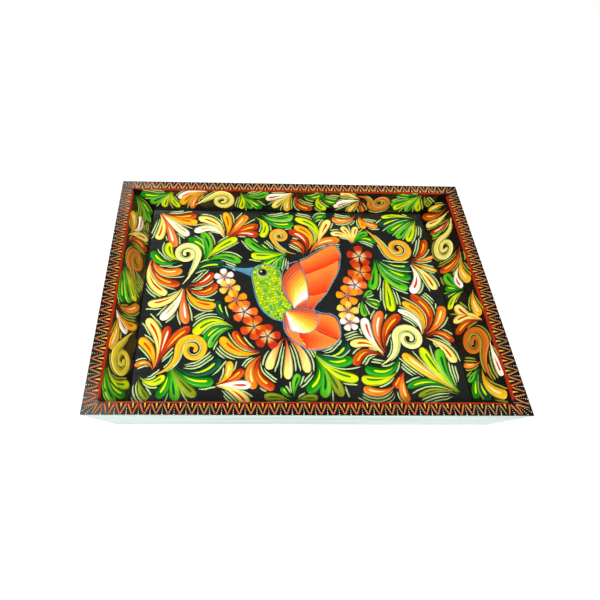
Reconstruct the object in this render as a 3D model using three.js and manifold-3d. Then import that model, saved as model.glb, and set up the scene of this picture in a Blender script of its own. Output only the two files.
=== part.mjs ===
// A low wooden serving tray: five boards nailed together. The long sides stand almost upright,
// the short ends lean well outwards, and the floor board is let in flush between all four.
// Millimetres, +X along the length, +Y to the back, +Z up. The origin is the middle of the
// footprint, on the surface that the tray stands on.
import * as THREE from 'three';
import { mergeVertices } from 'three/addons/utils/BufferGeometryUtils.js';
import Module from 'manifold-3d';

const wasm = await Module();
wasm.setup();

// Driving dimensions.
const LENGTH = 400;                                  // over the rim, along X
const WIDTH = 280;                                   // over the rim, along Y
const HEIGHT = 40;
const BOARD = 12;                                    // thickness of the four side boards
const FLOOR = 6;                                     // thickness of the floor board
const END_SPLAY = THREE.MathUtils.degToRad(30);      // lean of the short ends
const SIDE_SPLAY = THREE.MathUtils.degToRad(4);      // lean of the long sides
const GAP = 0.3;                                     // clearance between neighbouring pieces

// Nails, all round wire nails of one gauge.
const SHANK_RADIUS = 0.8;
const HEAD_RADIUS = 1.8;
const HEAD_DEPTH = 0.9;
const POINT_DEPTH = 2.4;
const NAIL_SEGMENTS = 12;
const CORNER_NAIL_LENGTH = 32;
const CORNER_NAIL_HEIGHTS = [13, 30];                // two nails in each corner
const FLOOR_NAIL_LENGTH = 24;
const FLOOR_NAILS_PER_SIDE = 4;
const FLOOR_NAILS_PER_END = 3;
const SIDE_HEAD_SET = 0.5;                           // how far a head sits below a long side's face
const END_HEAD_SET = 1.3;                            // deeper, because an end's face is so slanted

// Half sizes of the tray at a height z: the outer and inner faces of its ends and sides.
const endOuter = (z) => LENGTH / 2 - (HEIGHT - z) * Math.tan(END_SPLAY);
const endInner = (z) => endOuter(z) - BOARD / Math.cos(END_SPLAY);
const sideOuter = (z) => WIDTH / 2 - (HEIGHT - z) * Math.tan(SIDE_SPLAY);
const sideInner = (z) => sideOuter(z) - BOARD / Math.cos(SIDE_SPLAY);

const paintedWood = new THREE.MeshStandardMaterial({ color: 0xdfeee9, roughness: 0.55 });
const lacqueredWood = new THREE.MeshStandardMaterial({ color: 0x14110e, roughness: 0.2 });
const steel = new THREE.MeshStandardMaterial({ color: 0x9a9c9e, roughness: 0.4, metalness: 1 });

const tray = new THREE.Group();

function addPiece(name, geometry, material) {
  const mesh = new THREE.Mesh(geometry, material);
  mesh.name = name;
  tray.add(mesh);
  return mesh;
}

// A six-sided board: a box whose corners (u and v are -1 or 1, w is 0 or 1) are moved to place.
function boardGeometry(cornerAt) {
  const geometry = new THREE.BoxGeometry(2, 2, 1).translate(0, 0, 0.5);
  const position = geometry.attributes.position;
  for (let i = 0; i < position.count; i += 1) {
    const [x, y, z] = cornerAt(position.getX(i), position.getY(i), position.getZ(i));
    position.setXYZ(i, x, y, z);
  }
  return geometry;
}

function toSolid(geometry) {
  const bare = geometry.clone();
  bare.deleteAttribute('normal');
  bare.deleteAttribute('uv');
  const merged = mergeVertices(bare, 1e-4);
  return new wasm.Manifold(new wasm.Mesh({
    numProp: 3,
    vertProperties: merged.attributes.position.array,
    triVerts: Uint32Array.from(merged.index.array),
  }));
}

function toGeometry(solid) {
  const mesh = solid.getMesh();
  const geometry = new THREE.BufferGeometry();
  geometry.setAttribute('position', new THREE.BufferAttribute(mesh.vertProperties, 3));
  geometry.setIndex(new THREE.BufferAttribute(mesh.triVerts, 1));
  return geometry;
}

// A turned nail on the Y axis: its head's outer face is at y = 0 and its point at y = length.
function nailGeometry(length) {
  const neck = HEAD_DEPTH;
  const tip = length - POINT_DEPTH;
  const profile = [
    new THREE.Vector2(0, 0),
    new THREE.Vector2(HEAD_RADIUS, 0),
    new THREE.Vector2(HEAD_RADIUS, neck),
    new THREE.Vector2(SHANK_RADIUS, neck),
    new THREE.Vector2(SHANK_RADIUS, tip),
    new THREE.Vector2(0, length),
  ];
  return new THREE.LatheGeometry(profile, NAIL_SEGMENTS);
}

// The hole for a nail: its shape with clearance all round, and open at the head's end.
function nailHoleGeometry(length) {
  const neck = HEAD_DEPTH + GAP;
  const mouth = -6;
  const profile = [
    new THREE.Vector2(0, mouth),
    new THREE.Vector2(HEAD_RADIUS + GAP, mouth),
    new THREE.Vector2(HEAD_RADIUS + GAP, neck),
    new THREE.Vector2(SHANK_RADIUS + GAP, neck),
    new THREE.Vector2(SHANK_RADIUS + GAP, length + GAP),
    new THREE.Vector2(0, length + GAP),
  ];
  return new THREE.LatheGeometry(profile, NAIL_SEGMENTS);
}

// Where each nail goes. turn is the direction that it is driven in: 0 is along +Y, and a
// quarter turn more goes on to -X, -Y and +X.
const nails = [];
const QUARTER = Math.PI / 2;

function placeNail(name, x, y, z, quarterTurns, length) {
  nails.push({ name, at: new THREE.Vector3(x, y, z), turn: quarterTurns * QUARTER, length });
}

// Spread count places evenly over a length, half a step in from its ends.
function spread(count, length) {
  return Array.from({ length: count }, (_, i) => (i + 0.5) * (length / count) - length / 2);
}

// Corner nails go through a long side into the middle of an end board's end grain.
for (const [sideName, towards, turns] of [['front', -1, 0], ['back', 1, 2]]) {
  for (const [endName, hand] of [['left', -1], ['right', 1]]) {
    CORNER_NAIL_HEIGHTS.forEach((z, i) => {
      const x = hand * (endOuter(z) + endInner(z)) / 2;
      const y = towards * (sideOuter(z) - SIDE_HEAD_SET);
      placeNail(`corner_nail_${sideName}_${endName}_${i + 1}`, x, y, z, turns, CORNER_NAIL_LENGTH);
    });
  }
}

// Floor nails go level through each board into the edge of the floor board.
const floorNailHeight = FLOOR / 2;
const nailRun = 2 * endInner(0);
for (const [sideName, towards, turns] of [['front', -1, 0], ['back', 1, 2]]) {
  spread(FLOOR_NAILS_PER_SIDE, nailRun).forEach((x, i) => {
    const y = towards * (sideOuter(floorNailHeight) - SIDE_HEAD_SET);
    placeNail(`floor_nail_${sideName}_${i + 1}`, x, y, floorNailHeight, turns, FLOOR_NAIL_LENGTH);
  });
}
for (const [endName, hand, turns] of [['left', -1, 3], ['right', 1, 1]]) {
  spread(FLOOR_NAILS_PER_END, 2 * sideInner(0)).forEach((y, i) => {
    const x = hand * (endOuter(floorNailHeight) - END_HEAD_SET);
    placeNail(`floor_nail_${endName}_${i + 1}`, x, y, floorNailHeight, turns, FLOOR_NAIL_LENGTH);
  });
}

// Cuts every nail's hole out of a board.
function drilled(geometry) {
  let solid = toSolid(geometry);
  for (const nail of nails) {
    const hole = nailHoleGeometry(nail.length);
    hole.rotateZ(nail.turn);
    hole.translate(nail.at.x, nail.at.y, nail.at.z);
    solid = solid.subtract(toSolid(hole));
  }
  return toGeometry(solid);
}

// The long sides run the full length, and their slanted ends close the corners.
function addLongSide(name, towards) {
  const geometry = boardGeometry((u, v, w) => {
    const z = w * HEIGHT;
    const y = v < 0 ? sideOuter(z) : sideInner(z);
    return [-towards * u * endOuter(z), towards * y, z];
  });
  addPiece(name, drilled(geometry), paintedWood);
}

// The ends fit between the long sides.
function addEnd(name, hand) {
  const geometry = boardGeometry((u, v, w) => {
    const z = w * HEIGHT;
    const x = u < 0 ? endOuter(z) : endInner(z);
    return [hand * x, -hand * v * (sideInner(z) - GAP), z];
  });
  addPiece(name, drilled(geometry), paintedWood);
}

function addFloor() {
  const geometry = boardGeometry((u, v, w) => {
    const z = w * FLOOR;
    return [u * (endInner(z) - GAP), v * (sideInner(z) - GAP), z];
  });
  addPiece('floor_board', drilled(geometry), lacqueredWood);
}

function addNails() {
  for (const nail of nails) {
    const mesh = addPiece(nail.name, nailGeometry(nail.length), steel);
    mesh.position.copy(nail.at);
    mesh.rotation.z = nail.turn;
  }
}

addFloor();
addLongSide('front_side', -1);
addLongSide('back_side', 1);
addEnd('left_end', -1);
addEnd('right_end', 1);
addNails();

export default tray;
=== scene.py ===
"""Looks for a painted wooden tray: five lacquered boards, nail heads, and folk painting.

The painting is built as thin raised brush strokes in millimetres, each on a flat canvas: the tray's
floor, one of its four inner walls, or one side of its rim. Blender units are metres.
"""

import math
import random

import bmesh
import bpy
from mathutils import Matrix, Vector


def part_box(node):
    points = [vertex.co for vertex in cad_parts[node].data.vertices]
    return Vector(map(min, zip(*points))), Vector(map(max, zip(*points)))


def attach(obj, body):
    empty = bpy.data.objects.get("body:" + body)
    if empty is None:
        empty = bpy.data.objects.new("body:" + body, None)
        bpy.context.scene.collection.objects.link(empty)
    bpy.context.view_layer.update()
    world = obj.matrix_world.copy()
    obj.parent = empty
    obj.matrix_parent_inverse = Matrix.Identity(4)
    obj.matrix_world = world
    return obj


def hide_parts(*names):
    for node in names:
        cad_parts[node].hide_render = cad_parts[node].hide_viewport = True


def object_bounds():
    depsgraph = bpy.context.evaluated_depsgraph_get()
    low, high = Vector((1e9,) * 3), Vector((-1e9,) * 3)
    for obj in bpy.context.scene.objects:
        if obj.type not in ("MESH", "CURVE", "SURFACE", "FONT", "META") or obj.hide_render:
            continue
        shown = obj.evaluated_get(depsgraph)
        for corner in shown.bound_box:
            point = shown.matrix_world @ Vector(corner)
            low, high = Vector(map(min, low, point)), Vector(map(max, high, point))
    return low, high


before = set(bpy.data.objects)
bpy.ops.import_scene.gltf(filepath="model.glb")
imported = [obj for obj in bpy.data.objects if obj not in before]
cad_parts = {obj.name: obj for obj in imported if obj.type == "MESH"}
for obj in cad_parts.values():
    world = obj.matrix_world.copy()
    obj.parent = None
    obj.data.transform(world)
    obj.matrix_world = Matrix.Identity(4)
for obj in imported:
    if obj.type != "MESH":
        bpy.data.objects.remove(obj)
cad_low, cad_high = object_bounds()

MM = 0.001
LENGTH, WIDTH, HEIGHT = ((high - low) / MM for low, high in zip(cad_low, cad_high))
FLOOR_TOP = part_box("floor_board")[1].z / MM
BOARD = 12.0
END_LEAN = math.radians(30)
SIDE_LEAN = math.radians(4)
GAP = 0.3                    # between neighbouring boards, as in the CAD
EDGE_ROUND = 0.45            # softening of every board's edges
RELIEF = 0.5                 # room left under the CAD rim for the paint's thickness
RIM_Z = HEIGHT - RELIEF

luck = random.Random(7)


def end_outer(z):
    return LENGTH / 2 - (HEIGHT - z) * math.tan(END_LEAN)


def end_inner(z):
    return end_outer(z) - BOARD / math.cos(END_LEAN)


def side_outer(z):
    return WIDTH / 2 - (HEIGHT - z) * math.tan(SIDE_LEAN)


def side_inner(z):
    return side_outer(z) - BOARD / math.cos(SIDE_LEAN)


def lerp(a, b, f):
    return a + (b - a) * f


def between(a, b, f):
    return (lerp(a[0], b[0], f), lerp(a[1], b[1], f))


def polar(centre, angle, reach):
    return (centre[0] + reach * math.cos(angle), centre[1] + reach * math.sin(angle))


def mix(a, b, f):
    f = min(1.0, max(0.0, f))
    return tuple(lerp(p, q, f) for p, q in zip(a, b))


def rgb(code):
    """A web colour as linear red, green and blue."""
    parts = [int(code[i:i + 2], 16) / 255 for i in (0, 2, 4)]
    return tuple(c / 12.92 if c <= 0.04045 else ((c + 0.055) / 1.055) ** 2.4 for c in parts)


def tones(codes):
    return [rgb(code) for code in codes.split()]


# ---------------------------------------------------------------- materials

def new_material(name):
    material = bpy.data.materials.new(name)
    material.use_nodes = True
    tree = material.node_tree
    return material, tree, tree.nodes["Principled BSDF"]


def wire(node, **inputs):
    """Sets a node's inputs by name: a value sets one, a socket links to it."""
    for key, value in inputs.items():
        socket = node.inputs[key.replace("_", " ")]
        if isinstance(value, bpy.types.NodeSocket):
            node.id_data.links.new(value, socket)
        else:
            socket.default_value = value


def add(tree, kind, output, **inputs):
    """One output of a new shader node."""
    node = tree.nodes.new("ShaderNode" + kind)
    wire(node, **inputs)
    return node.outputs[output]


def attribute(tree, name, output):
    node = tree.nodes.new("ShaderNodeAttribute")
    node.attribute_name = name
    return node.outputs[output]


def ramp(tree, source, *stops):
    node = tree.nodes.new("ShaderNodeValToRGB")
    wire(node, Fac=source)
    elements = node.color_ramp.elements
    while len(elements) < len(stops):
        elements.new(0.5)
    for element, (place, colour) in zip(elements, stops):
        element.position = place
        element.color = (*colour, 1.0)
    return node.outputs["Color"]


def multiply(tree, factor, first, second):
    node = tree.nodes.new("ShaderNodeMix")
    node.data_type = "RGBA"
    node.blend_type = "MULTIPLY"
    node.inputs[0].default_value = factor
    tree.links.new(first, node.inputs[6])
    tree.links.new(second, node.inputs[7])
    return node.outputs[2]


def noise(tree, vector, stretch, scale, detail):
    mapping = add(tree, "Mapping", "Vector", Vector=vector, Scale=stretch)
    return add(tree, "TexNoise", "Fac", Vector=mapping, Scale=scale, Detail=detail)


def bump(tree, height, strength, distance):
    return add(tree, "Bump", "Normal", Height=height, Strength=strength, Distance=distance)


EVEN = (1.0, 1.0, 1.0)


def paint_material():
    """Enamel paint whose colour is the stroke's own, with bristle streaks that follow the stroke."""
    material, tree, bsdf = new_material("enamel_paint")
    streaks = noise(tree, attribute(tree, "stroke", "Vector"), (0.09, 1.7, 1.0), 1.0, 3.0)
    shade = ramp(tree, streaks, (0.32, (0.72, 0.70, 0.66)), (0.55, EVEN), (0.72, (1.1, 1.1, 1.06)))
    wire(bsdf, Base_Color=multiply(tree, 1.0, attribute(tree, "paint", "Color"), shade),
         Normal=bump(tree, streaks, 0.25, 0.0004), Roughness=0.42, Specular_IOR_Level=0.2,
         Coat_Weight=0.18, Coat_Roughness=0.1)
    return material


def lacquer_material(name, codes):
    """Black lacquer over hand-planed wood: nearly black, gently uneven, under clear varnish."""
    material, tree, bsdf = new_material(name)
    place = add(tree, "TexCoord", "Object")
    cloud = noise(tree, place, EVEN, 22.0, 4.0)
    brushing = noise(tree, place, (0.25, 1.0, 1.0), 240.0, 3.0)
    waves = tree.nodes.new("ShaderNodeMath")
    tree.links.new(brushing, waves.inputs[0])
    tree.links.new(cloud, waves.inputs[1])
    wire(bsdf, Base_Color=ramp(tree, cloud, *zip((0.3, 0.6, 0.8), tones(codes))),
         Normal=bump(tree, waves.outputs[0], 0.35, 0.0007),
         Roughness=ramp(tree, brushing, (0.3, (0.22,) * 3), (0.7, (0.34,) * 3)),
         Specular_IOR_Level=0.35, Coat_Weight=0.35, Coat_Roughness=0.1)
    return material


def mint_material(name, along, wear):
    """Thin mint-white paint brushed along the board, with the grain faintly showing."""
    material, tree, bsdf = new_material(name)
    place = add(tree, "TexCoord", "Object")
    brushed = noise(tree, place, along, 420.0, 4.0)
    grain = noise(tree, place, along, 90.0, 6.0)
    film = ramp(tree, brushed, *zip((0.25, 0.5, 0.75), tones("bccfcb c8dad6 d3e3df")))
    rubbed = ramp(tree, grain, (0.36, rgb("b9a98c")), (0.44, EVEN))
    wire(bsdf, Base_Color=multiply(tree, wear, film, rubbed), Normal=bump(tree, brushed, 0.4, 0.0005),
         Roughness=ramp(tree, grain, (0.3, (0.45,) * 3), (0.7, (0.62,) * 3)))
    return material


def nail_material():
    """Wire nail with its head painted over, a little rust coming through."""
    material, tree, bsdf = new_material("painted_nail")
    spots = noise(tree, add(tree, "TexCoord", "Object"), EVEN, 900.0, 3.0)
    wire(bsdf, Base_Color=ramp(tree, spots, *zip((0.3, 0.4, 0.7), tones("c9b593 dbe9e5 eaf6f3"))),
         Normal=bump(tree, spots, 0.3, 0.0002), Roughness=0.5)
    return material


PAINT = paint_material()
FLOOR_LACQUER = lacquer_material("black_lacquer_floor", "141615 1d201f 252624")
# The walls and rim get a darker copy of the floor's black lacquer: painted shade.
SHADED_WALL_LACQUER = lacquer_material("black_lacquer_walls_painted_shade", "070605 0c0b09 15120f")
MINT_ALONG_X = mint_material("mint_paint_long_sides", (0.05, 1.0, 1.0), 0.25)
MINT_ALONG_Y = mint_material("mint_paint_ends", (1.0, 0.05, 1.0), 0.25)
MINT_UNDER = mint_material("mint_paint_underside", (0.04, 1.0, 1.0), 0.7)
NAIL = nail_material()


# ---------------------------------------------------------------- boards

def link(name, data):
    piece = bpy.data.objects.new(name, data)
    bpy.context.scene.collection.objects.link(piece)
    return piece


def link_shape(name, shape):
    mesh = bpy.data.meshes.new(name)
    shape.to_mesh(mesh)
    shape.free()
    return link(name, mesh)


def board(name, corner_at):
    """A six-sided board with softened edges. corner_at gives the place of corner u, v, w (0 or 1)."""
    shape = bmesh.new()
    corners = {}
    for key in "000 001 010 011 100 101 110 111".split():
        corners[key] = shape.verts.new(Vector(corner_at(*map(int, key))) * MM)
    for loop in ("000 010 110 100", "001 101 111 011", "000 100 101 001",
                 "100 110 111 101", "110 010 011 111", "010 000 001 011"):
        shape.faces.new([corners[key] for key in loop.split()])
    bmesh.ops.recalc_face_normals(shape, faces=shape.faces)
    bmesh.ops.bevel(shape, geom=shape.edges[:], offset=EDGE_ROUND * MM, segments=3, profile=0.5,
                    affect="EDGES")
    return link_shape(name, shape)


def nail_cutter():
    """One mesh of every nail's hole: a straight bore and room for the head.

    The hole ends at the head, because the heads are stopped with filler and painted over.
    """
    shape = bmesh.new()
    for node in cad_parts:
        if "nail" not in node:
            continue
        low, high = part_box(node)
        middle = (low + high) / 2
        reach = high - low
        axis = 0 if reach.x > reach.y else 1
        outward = 1 if middle[axis] > 0 else -1
        half = reach[axis] / 2
        turn = Matrix.Rotation(math.pi / 2, 4, "Y" if axis == 0 else "X")
        for radius, inner, outer in ((1.1, -half - 0.3 * MM, half),
                                     (1.9, half - 1.2 * MM, half + 0.05 * MM)):
            centre = middle.copy()
            centre[axis] += outward * (inner + outer) / 2
            bmesh.ops.create_cone(shape, cap_ends=True, segments=20, radius1=radius * MM,
                                  radius2=radius * MM, depth=outer - inner,
                                  matrix=Matrix.Translation(centre) @ turn)
    return link_shape("nail_cutter", shape)


def drill(piece, cutter):
    cut = piece.modifiers.new("nail_holes", "BOOLEAN")
    cut.operation = "DIFFERENCE"
    cut.solver = "EXACT"
    cut.use_self = True
    cut.object = cutter
    bpy.context.view_layer.update()
    done = bpy.data.meshes.new_from_object(piece.evaluated_get(bpy.context.evaluated_depsgraph_get()))
    piece.modifiers.clear()
    piece.data = done


def is_painted_inside(centre, normal):
    """Whether a wall's face is part of the rim or of the wall's inside."""
    inward = -(normal.x * centre.x / LENGTH + normal.y * centre.y / WIDTH)
    return (normal.z > 0.5 and centre.z > RIM_Z - 2) or (inward > 0.15 and centre.z > 1)


def add_board(node, corner_at, outside, lacquer, is_black, cutter):
    """Black lacquer on the faces that is_black picks by centre and normal, mint paint elsewhere."""
    piece = board(node + "_painted", corner_at)
    drill(piece, cutter)
    piece.data.materials.clear()
    piece.data.materials.append(outside)
    piece.data.materials.append(lacquer)
    biggest = max(face.area for face in piece.data.polygons)
    for face in piece.data.polygons:
        face.material_index = 1 if is_black(face.center / MM, face.normal) else 0
        face.use_smooth = face.area < biggest * 0.02
    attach(piece, "root")
    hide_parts(node)


def build_boards():
    cutter = nail_cutter()

    def long_side(towards):
        def corner(u, v, w):
            z = w * RIM_Z
            y = side_inner(z) if v else side_outer(z)
            return ((u * 2 - 1) * end_outer(z), towards * y, z)
        return corner

    def end(hand):
        def corner(u, v, w):
            z = w * RIM_Z
            x = end_inner(z) if u else end_outer(z)
            return (hand * x, (v * 2 - 1) * (side_inner(z) - GAP / 3), z)
        return corner

    def floor_corner(u, v, w):
        z = w * FLOOR_TOP
        return ((u * 2 - 1) * (end_inner(z) - GAP / 3), (v * 2 - 1) * (side_inner(z) - GAP / 3), z)

    for node, corner_at, outside in (
            ("front_side", long_side(-1), MINT_ALONG_X), ("back_side", long_side(1), MINT_ALONG_X),
            ("left_end", end(-1), MINT_ALONG_Y), ("right_end", end(1), MINT_ALONG_Y)):
        add_board(node, corner_at, outside, SHADED_WALL_LACQUER, is_painted_inside, cutter)
    add_board("floor_board", floor_corner, MINT_UNDER, FLOOR_LACQUER,
              lambda centre, normal: normal.z > 0.5, cutter)
    bpy.data.objects.remove(cutter)
    for node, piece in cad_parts.items():
        if "nail" in node:
            piece.data.materials.clear()
            piece.data.materials.append(NAIL)


# ---------------------------------------------------------------- brushwork

class Canvas:
    """A flat painted surface: x runs along it, y up it, and h stands off it, all in millimetres.

    It remembers what is painted where, as discs, so that later strokes can keep clear.
    """

    CELL = 20

    def __init__(self, origin, across, up, half_width, high, low=0, flare=0.0, line_colour="bcd994",
                 squash=1.0):
        self.origin = Vector(origin)
        self.across = Vector(across).normalized()
        self.up = Vector(up).normalized()
        self.out = self.across.cross(self.up)
        self.half_width = half_width
        self.low = low
        self.high = high
        self.flare = flare
        self.line_colour = rgb(line_colour)
        self.squash = squash        # the height of its scrolls as a share of their width
        self.discs = {}

    def at(self, x, y, h):
        return (self.origin + self.across * x + self.up * y + self.out * h) * MM

    def holds(self, x, y, margin):
        wide = self.half_width + self.flare * (y - self.low) - margin
        return abs(x) < wide and self.low + margin < y < self.high - margin

    def claim(self, x, y, radius, owner):
        cell = (int(x // self.CELL), int(y // self.CELL))
        self.discs.setdefault(cell, []).append((x, y, radius, owner))

    def is_clear(self, x, y, margin, owners=()):
        """Whether nothing but the owners' own paint lies within the margin."""
        column, row = int(x // self.CELL), int(y // self.CELL)
        near = [disc for i in (-1, 0, 1) for j in (-1, 0, 1)
                for disc in self.discs.get((column + i, row + j), ())]
        return all(who in owners or math.hypot(x - px, y - py) >= radius + margin
                   for px, py, radius, who in near)


SIDES = {"back": (0, 1), "left": (-1, 0), "right": (1, 0), "front": (0, -1)}
LONG_SIDES = ("back", "front")


def side_canvas(side, z, outwards, upwards, high, **looks):
    """A canvas that starts at height z on the inner edge of one side, and leads outwards and upwards."""
    dx, dy = SIDES[side]
    x, y = end_inner(z), side_inner(z)
    return Canvas((dx * x, dy * y, z), (dy, -dx, 0), (dx * outwards, dy * outwards, upwards),
                  y if dx else x, high, **looks)


def wall_canvas(side):
    # The walls' pale line colours are darker, olive copies of the floor's: painted shade, darkest on the end
    # walls.
    if side in LONG_SIDES:
        lean = SIDE_LEAN
        looks = {"flare": math.tan(END_LEAN), "line_colour": "aac468", "squash": 0.92}
    else:
        lean = END_LEAN
        looks = {"flare": 0.06, "line_colour": "98a63c", "squash": 0.8}
    high = (RIM_Z - FLOOR_TOP) / math.cos(lean)
    return side_canvas(side, FLOOR_TOP, math.sin(lean), math.cos(lean), high, **looks)


FLOOR_Y = side_inner(FLOOR_TOP)
floor = Canvas((0, 0, FLOOR_TOP), (1, 0, 0), (0, 1, 0), end_inner(FLOOR_TOP), FLOOR_Y, -FLOOR_Y)
WALLS = {side: wall_canvas(side) for side in SIDES}


def smooth_line(points, steps=6):
    """A Catmull-Rom curve through the points."""
    count = len(points)
    line = []
    for i in range(count - 1):
        p = [points[min(max(i + k, 0), count - 1)] for k in (-1, 0, 1, 2)]
        for j in range(steps):
            t = j / steps
            line.append(tuple(
                0.5 * (2 * p[1][k] + (p[2][k] - p[0][k]) * t
                       + (2 * p[0][k] - 5 * p[1][k] + 4 * p[2][k] - p[3][k]) * t * t
                       + (3 * p[1][k] - p[0][k] - 3 * p[2][k] + p[3][k]) * t ** 3)
                for k in (0, 1)))
    line.append(points[-1])
    return line


def distances(line):
    """How far along the line each of its points is."""
    lengths = [0.0]
    for a, b in zip(line, line[1:]):
        lengths.append(lengths[-1] + math.dist(a, b))
    return lengths


def run_length(line):
    return distances(line)[-1]


def spaced(line, count):
    """The same line as count + 1 evenly spaced points."""
    lengths = distances(line)
    points = []
    j = 0
    for i in range(count + 1):
        want = lengths[-1] * i / count
        while j < len(line) - 2 and lengths[j + 1] < want:
            j += 1
        span = max(lengths[j + 1] - lengths[j], 1e-9)
        points.append(between(line[j], line[j + 1], min(1.0, max(0.0, (want - lengths[j]) / span))))
    return points


def direction(line, i):
    a = line[max(i - 1, 0)]
    b = line[min(i + 1, len(line) - 1)]
    size = max(math.dist(a, b), 1e-9)
    return ((b[0] - a[0]) / size, (b[1] - a[1]) / size)


def beside(line, i, off):
    """The place that far to the left of the line's i-th point."""
    (x, y), (dx, dy) = line[i], direction(line, i)
    return (x - dy * off, y + dx * off)


RED_LINE = rgb("a8280a")      # edges the inner walls and the rim
SINK = 0.03                  # how far a stroke's edge goes into what it lies on


class Brushwork:
    """Collects strokes and becomes one mesh piece, each stroke a closed, slightly domed body."""

    def __init__(self, name):
        self.name = name
        self.points = []
        self.faces = []
        self.colours = []
        self.strokes = []

    def vertex(self, canvas, x, y, h, colour, along, over):
        self.points.append(canvas.at(x, y, h))
        self.colours.extend((*colour, 1.0))
        self.strokes.extend((along, over, 0.0))
        return len(self.points) - 1

    def ribbon(self, canvas, line, half_width, colour, lift=0.0, rise=0.2, across=4, foot=None):
        """A stroke along a line. half_width(t) and colour(t, s) take t along and s (-1 to 1) across.

        Its edges go down to foot, which is just under lift unless it is given.
        """
        foot = lift - SINK if foot is None else foot
        last = len(line) - 1
        seed = luck.uniform(0, 500)
        lengths = distances(line)
        total = max(lengths[-1], 1e-9)
        rings = []
        for i, length in enumerate(lengths):
            t = length / total
            along = length + seed
            if i in (0, last):
                rings.append([self.vertex(canvas, *line[i], foot, colour(t, 0.0), along, seed)])
                continue
            (x, y), (dx, dy) = line[i], direction(line, i)
            w = half_width(t)
            ring = []
            for j in range(across + 1):
                s = 2 * j / across - 1
                h = lerp(lift + rise * min(1.0, w / 0.9) * (1 - s * s), foot, s ** 4)
                ring.append(self.vertex(canvas, x - dy * s * w, y + dx * s * w, h, colour(t, s), along,
                                        seed + s * w))
            rings.append(ring)
        first, final = rings[0][0], rings[-1][0]
        for j in range(across):
            self.faces.append((first, rings[1][j], rings[1][j + 1]))
            self.faces.append((rings[-2][j], final, rings[-2][j + 1]))
        self.faces.append((first, rings[1][across], rings[1][0]))
        self.faces.append((rings[-2][0], rings[-2][across], final))
        self.skin(rings[1:-1])

    def skin(self, rings):
        """Faces between each ring and the next, with a flat one underneath."""
        for a, b in zip(rings, rings[1:]):
            for j in range(len(a) - 1):
                self.faces.append((a[j], b[j], b[j + 1], a[j + 1]))
            self.faces.append((a[0], a[-1], b[-1], b[0]))

    def patch(self, canvas, right_line, left_line, colour, lift=0.0, rise=0.3, across=8):
        """A filled shape between two lines that run the same way, right_line on the right of travel."""
        last = len(right_line) - 1
        seed = luck.uniform(0, 500)
        rings = []
        for i, (right_end, left_end) in enumerate(zip(right_line, left_line)):
            t = i / last
            wide = math.dist(right_end, left_end)
            ring = []
            for j in range(across + 1):
                q = j / across
                h = lift - SINK
                if 0 < i < last and 0 < j < across:
                    dome = math.sin(math.pi * q) ** 0.5 * min(1.0, wide / 3)
                    h = lift + rise * dome * min(1.0, 6 * t, 6 - 6 * t)
                ring.append(self.vertex(canvas, *between(right_end, left_end, q), h, colour(t, q),
                                        seed + t * 40, seed + q * wide))
            rings.append(ring)
        self.skin(rings)
        self.faces.append(tuple(rings[0]))
        self.faces.append(tuple(reversed(rings[-1])))

    def dot(self, canvas, x, y, radius, colour, lift=0.0, rise=0.25, sides=10):
        """A round touch of paint."""
        seed = luck.uniform(0, 500)
        top = self.vertex(canvas, x, y, lift + rise, colour, seed, seed)
        rim = []
        for i in range(sides):
            angle = 2 * math.pi * i / sides
            dx, dy = radius * math.cos(angle), radius * math.sin(angle)
            rim.append(self.vertex(canvas, x + dx, y + dy, lift - SINK, colour, seed + dx, seed + dy))
        for i in range(sides):
            self.faces.append((top, rim[i], rim[(i + 1) % sides]))
        self.faces.append(tuple(reversed(rim)))

    def finish(self, slot):
        mesh = bpy.data.meshes.new(self.name)
        mesh.from_pydata(self.points, [], self.faces)
        mesh.attributes.new("paint", "FLOAT_COLOR", "POINT").data.foreach_set("color", self.colours)
        mesh.attributes.new("stroke", "FLOAT_VECTOR", "POINT").data.foreach_set("vector", self.strokes)
        mesh.materials.append(PAINT)
        mesh.shade_smooth()
        mesh.validate()
        piece = link(self.name, mesh)
        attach(piece, "root")


# ---------------------------------------------------------------- leaves, fans and scrolls

# Each leaf's colours: at its root, its body, its lit edge, and the thin stroke laid inside it.
LEAVES = {name: tones(codes) for name, codes in {
    "rust": "6a1002 c03006 f07c1c ffc41c",
    "ember": "6a1002 c02c08 ea6224 fff0d0",
    "orange": "b83804 f27a16 ffa83c ffe88a",
    "peach": "c03c04 ee7428 ffa45c fffaf0",
    "gold": "d06000 ffc010 f8961c d63c08",
    "amber": "c07000 fbb814 ffd848 fff4b4",
    "cream": "f0a030 fff086 ffe45a d8380a",
    "white": "ffe090 fffdf0 fff0a8 ffc62a",
    "snow": "ffe8b0 fffdf4 fff6cc d8380a",
    "petal": "d82c06 ffec7c fff8b8 ffe068",
    "green": "013a06 06860c 38bc24 e8f000",
    "leaf": "187408 4cb818 8cdc30 024c24",
    "lime": "7c9800 dcec00 b4dc18 1e8a10",
    "teal": "001e18 03402e 0b6c40 d4ea00",
    "olive": "465604 86980e b4c02c 2c6410",
}.items()}

LEAF_STEPS = (0, 0.05, 0.11, 0.18, 0.26, 0.35, 0.44, 0.53, 0.62, 0.71, 0.79, 0.86, 0.91, 0.95, 0.985, 1.0)
SHOULDER = 0.8
LINE_GAP = 1.5               # from a leaf's edge to the middle of the pale line beside it


def comma_width(t, wide, blunt=2.0):
    """Thin at the root, widest at the shoulder, then a round tip, or a squarer one if blunt."""
    if t < SHOULDER:
        return wide * (0.05 + 0.95 * math.sin(t / SHOULDER * math.pi / 2) ** 1.5)
    past = min(1.0, (t - SHOULDER) / (1 - SHOULDER))
    return wide * max(0.0, 1 - past ** blunt) ** 0.5


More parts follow.
